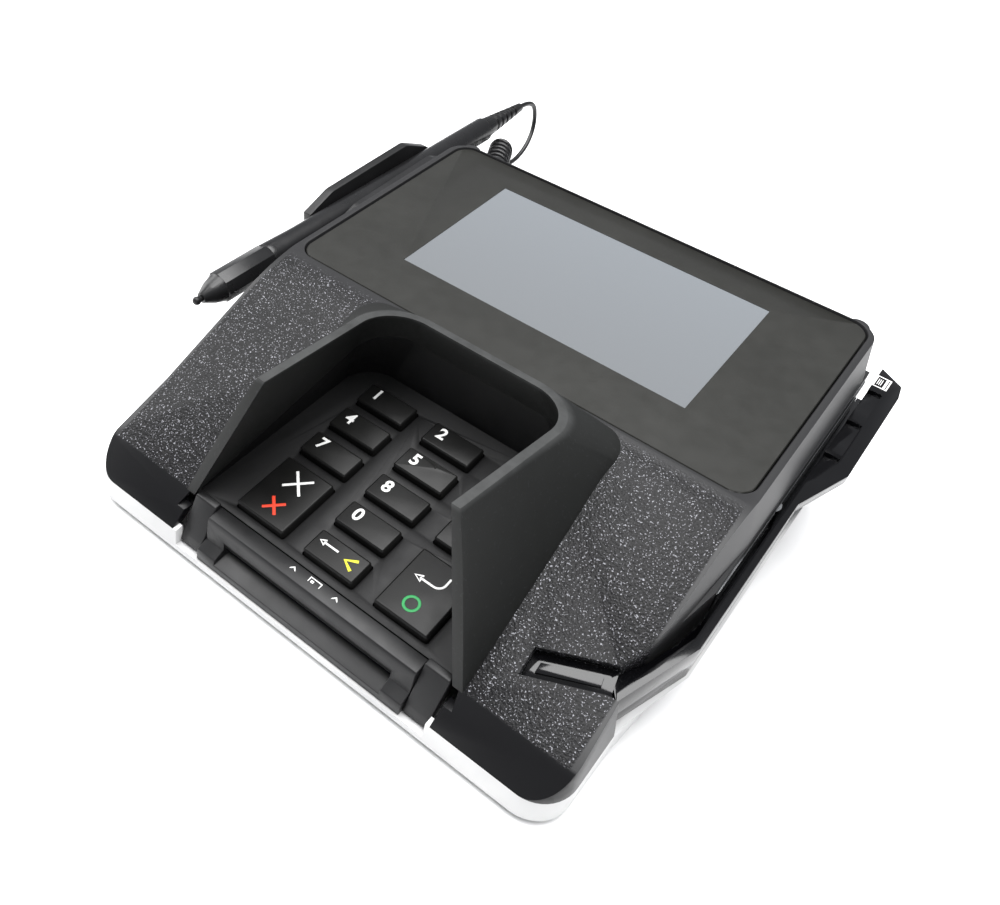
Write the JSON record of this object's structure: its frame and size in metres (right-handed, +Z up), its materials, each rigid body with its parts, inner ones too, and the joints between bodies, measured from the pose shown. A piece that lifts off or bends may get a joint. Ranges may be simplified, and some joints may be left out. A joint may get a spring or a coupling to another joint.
{
  "type": "card payment terminal",
  "caption": "Countertop card terminal with tilted display, shielded keypad, chip slot, side swipe track and a stylus on a coiled tether.",
  "frame": {"origin": "on the plane the rubber feet stand on, midway between the four fixing holes in the base, whose mouths sit 0.2 mm above that plane", "axes": "+Z up, +Y to the back of the terminal, +X to the right seen from the keypad side"},
  "size_m": [0.1817, 0.2272, 0.0669],
  "materials": {
    "charcoal_housing": "fine moulded grain",
    "silver_base": "satin moulded",
    "dark_clip": "satin",
    "foot_rubber": "soft matt",
    "brass_insert": "turned",
    "screw_steel": "zinc plated",
    "lens": "coated touch lens",
    "gasket_foam": "closed cell foam",
    "lcd_glass": "unlit panel",
    "bracket_steel": "stamped sheet",
    "bezel": "matt",
    "key_rubber": "coated silicone",
    "membrane_rubber": "silicone",
    "green_board": "solder mask",
    "shield_rubber": "soft touch",
    "reader_plastic": "glass filled",
    "gold_contact": "gold flashed",
    "gloss_rail": "polished",
    "wear_steel": "drawn strip",
    "head_metal": "lapped",
    "spring_steel": "bent strip",
    "chip_black": "epoxy",
    "can_steel": "tinned",
    "cell_steel": "nickel",
    "socket_plastic": "nylon",
    "speaker_black": "moulded",
    "flex_film": "polyimide",
    "stylus_plastic": "satin",
    "tip_plastic": "hard nylon",
    "cord_black": "cord jacket"
  },
  "bodies": {
    "terminal": {"base_inserts": "brass_insert", "board_screws": "screw_steel", "board_sockets": "socket_plastic", "bottom_housing": "silver_base", "card_contacts": "gold_contact", "card_reader": "reader_plastic", "card_slot_trim": "charcoal_housing", "case_screws": "screw_steel", "cell_holder": "speaker_black", "coin_cell": "cell_steel", "display_flex": "flex_film", "io_connector": "can_steel", "keypad_bezel": "bezel", "keypad_board": "green_board", "keypad_flex": "flex_film", "keypad_membrane": "membrane_rubber", "lcd_bracket": "bracket_steel", "lcd_module": "lcd_glass", "lens_gasket": "gasket_foam", "lens_panel": "lens", "main_board": "green_board", "memory_chips": "chip_black", "privacy_shield": "shield_rubber", "processor_can": "can_steel", "rubber_feet": "foot_rubber", "sam_holder": "can_steel", "service_door": "silver_base", "shield_clip_left": "dark_clip", "shield_clip_right": "dark_clip", "speaker": "speaker_black", "stylus_holder": "charcoal_housing", "swipe_rail": "gloss_rail", "tether_anchor": "dark_clip", "tether_coil": "cord_black", "tether_lead": "cord_black", "top_housing": "charcoal_housing", "wear_strip": "wear_steel"},
    "stylus": {"stylus_tip": "tip_plastic", "stylus_grip": "stylus_plastic", "stylus_barrel": "stylus_plastic", "stylus_tail": "stylus_plastic"},
    "read_head": {"magnetic_head": "head_metal", "head_spring": "spring_steel"},
    "key_0": {"key_0": "key_rubber"},
    "key_1": {"key_1": "key_rubber"},
    "key_2": {"key_2": "key_rubber"},
    "key_3": {"key_3": "key_rubber"},
    "key_4": {"key_4": "key_rubber"},
    "key_5": {"key_5": "key_rubber"},
    "key_6": {"key_6": "key_rubber"},
    "key_7": {"key_7": "key_rubber"},
    "key_8": {"key_8": "key_rubber"},
    "key_9": {"key_9": "key_rubber"},
    "key_cancel": {"key_cancel": "key_rubber"},
    "key_clear": {"key_clear": "key_rubber"},
    "key_enter": {"key_enter": "key_rubber"}
  },
  "joints": [
    {"name": "key_0_press", "type": "slide", "parent": "terminal", "child": "key_0", "axis": [0, 0.2105, -0.9776], "range_m": [0, 0.0012], "stiffness_N_per_m": 900, "springref_m": -0.0004},
    {"name": "key_1_press", "type": "slide", "parent": "terminal", "child": "key_1", "axis": [0, 0.2105, -0.9776], "range_m": [0, 0.0012], "stiffness_N_per_m": 900, "springref_m": -0.0004},
    {"name": "key_2_press", "type": "slide", "parent": "terminal", "child": "key_2", "axis": [0, 0.2105, -0.9776], "range_m": [0, 0.0012], "stiffness_N_per_m": 900, "springref_m": -0.0004},
    {"name": "key_3_press", "type": "slide", "parent": "terminal", "child": "key_3", "axis": [0, 0.2105, -0.9776], "range_m": [0, 0.0012], "stiffness_N_per_m": 900, "springref_m": -0.0004},
    {"name": "key_4_press", "type": "slide", "parent": "terminal", "child": "key_4", "axis": [0, 0.2105, -0.9776], "range_m": [0, 0.0012], "stiffness_N_per_m": 900, "springref_m": -0.0004},
    {"name": "key_5_press", "type": "slide", "parent": "terminal", "child": "key_5", "axis": [0, 0.2105, -0.9776], "range_m": [0, 0.0012], "stiffness_N_per_m": 900, "springref_m": -0.0004},
    {"name": "key_6_press", "type": "slide", "parent": "terminal", "child": "key_6", "axis": [0, 0.2105, -0.9776], "range_m": [0, 0.0012], "stiffness_N_per_m": 900, "springref_m": -0.0004},
    {"name": "key_7_press", "type": "slide", "parent": "terminal", "child": "key_7", "axis": [0, 0.2105, -0.9776], "range_m": [0, 0.0012], "stiffness_N_per_m": 900, "springref_m": -0.0004},
    {"name": "key_8_press", "type": "slide", "parent": "terminal", "child": "key_8", "axis": [0, 0.2105, -0.9776], "range_m": [0, 0.0012], "stiffness_N_per_m": 900, "springref_m": -0.0004},
    {"name": "key_9_press", "type": "slide", "parent": "terminal", "child": "key_9", "axis": [0, 0.2105, -0.9776], "range_m": [0, 0.0012], "stiffness_N_per_m": 900, "springref_m": -0.0004},
    {"name": "key_cancel_press", "type": "slide", "parent": "terminal", "child": "key_cancel", "axis": [0, 0.2105, -0.9776], "range_m": [0, 0.0012], "stiffness_N_per_m": 900, "springref_m": -0.0004},
    {"name": "key_clear_press", "type": "slide", "parent": "terminal", "child": "key_clear", "axis": [0, 0.2105, -0.9776], "range_m": [0, 0.0012], "stiffness_N_per_m": 900, "springref_m": -0.0004},
    {"name": "key_enter_press", "type": "slide", "parent": "terminal", "child": "key_enter", "axis": [0, 0.2105, -0.9776], "range_m": [0, 0.0012], "stiffness_N_per_m": 900, "springref_m": -0.0004},
    {"name": "stylus_lift", "type": "slide", "parent": "terminal", "child": "stylus", "axis": [0, -0.1392, 0.9903], "range_m": [0, 0.045]},
    {"name": "head_float", "type": "slide", "parent": "terminal", "child": "read_head", "axis": [-1, 0, 0], "range_m": [0, 0.0006], "stiffness_N_per_m": 800, "springref_m": -0.0003}
  ]
}
